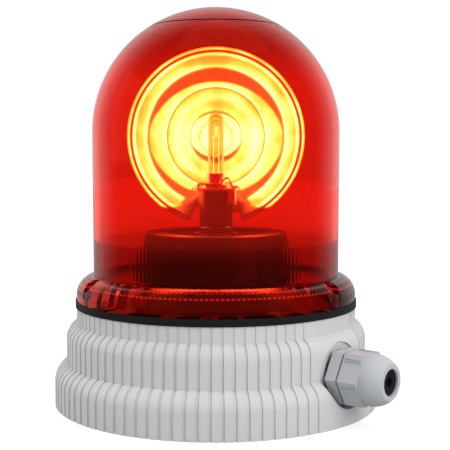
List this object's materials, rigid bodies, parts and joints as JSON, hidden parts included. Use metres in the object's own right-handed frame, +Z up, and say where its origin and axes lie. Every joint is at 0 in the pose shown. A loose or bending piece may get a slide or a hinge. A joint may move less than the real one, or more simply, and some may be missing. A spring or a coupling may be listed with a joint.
{
  "type": "rotating warning beacon",
  "caption": "Rotating warning beacon: clear red dome over a stepped mirror that turns round a halogen bulb, on a fluted grey base with a side cable gland.",
  "frame": {"origin": "centre of the underside of the base, on the axis of the dome", "axes": "+Z up along the dome axis, +X along the cable gland, out of the base"},
  "size_m": [0.1863, 0.165, 0.2],
  "materials": {
    "black_rubber": "matte black",
    "board": "green laminate",
    "bright_steel": "bright",
    "bronze": "sintered",
    "clear_glass": "clear",
    "copper_coil": "enamelled copper",
    "dark_plastic": "matte black",
    "gland_plastic": "matte light grey polyamide",
    "grey_plastic": "matte moulded light grey",
    "hot_filament": "glowing",
    "lead_sheath": "insulated wire",
    "mirror_coat": "polished reflector",
    "red_lens": "clear red, glossy",
    "white_plastic": "natural acetal",
    "zinc_steel": "zinc plated"
  },
  "bodies": {
    "housing": {"base_housing": "grey_plastic", "board_capacitors": "dark_plastic", "board_choke": "copper_coil", "board_screws": "zinc_steel", "bottom_cover": "grey_plastic", "bottom_cover_screws": "zinc_steel", "bulb_cap": "bright_steel", "bulb_filament": "hot_filament", "bulb_glass": "clear_glass", "chassis_plate": "zinc_steel", "chassis_screws": "zinc_steel", "circuit_board": "board", "dome_gasket": "black_rubber", "dome_lens": "red_lens", "dome_screw_washers": "black_rubber", "dome_screws": "zinc_steel", "gland_body": "gland_plastic", "gland_locknut": "gland_plastic", "gland_seal": "black_rubber", "gland_washer": "black_rubber", "lamp_clip": "zinc_steel", "lamp_leads": "lead_sheath", "lamp_pillar": "dark_plastic", "lamp_plate": "zinc_steel", "lamp_terminal": "dark_plastic", "lamp_terminal_lug": "zinc_steel", "motor_can": "bright_steel", "motor_end_cap": "dark_plastic", "motor_leads": "lead_sheath", "motor_screws": "zinc_steel", "pillar_nut": "zinc_steel", "retaining_ring": "zinc_steel", "terminal_block": "dark_plastic", "terminal_screws": "zinc_steel", "thrust_washer": "white_plastic"},
    "mirror": {"bracket_screws": "zinc_steel", "driven_gear": "white_plastic", "mirror_bracket": "zinc_steel", "reflector": "mirror_coat", "turntable": "dark_plastic", "turntable_bush": "bronze"},
    "motor_drive": {"motor_pinion": "bronze", "motor_shaft": "bright_steel"},
    "clamping_nut": {"gland_nut": "gland_plastic"}
  },
  "joints": [
    {"name": "mirror_spin", "type": "hinge", "parent": "housing", "child": "mirror", "pos_m": [0, 0, 0.07], "axis": [0, 0, 1], "continuous": true},
    {"name": "motor_spin", "type": "hinge", "parent": "housing", "child": "motor_drive", "pos_m": [0, 0.0425, 0.05], "axis": [0, 0, 1], "continuous": true},
    {"name": "gland_nut_turn", "type": "hinge", "parent": "housing", "child": "clamping_nut", "pos_m": [0.09, 0, 0.023], "axis": [1, 0, 0], "range_deg": [-180, 180]}
  ],
  "couplings": [
    {"joint": "motor_spin", "follows": "mirror_spin", "ratio": -4.6667}
  ]
}
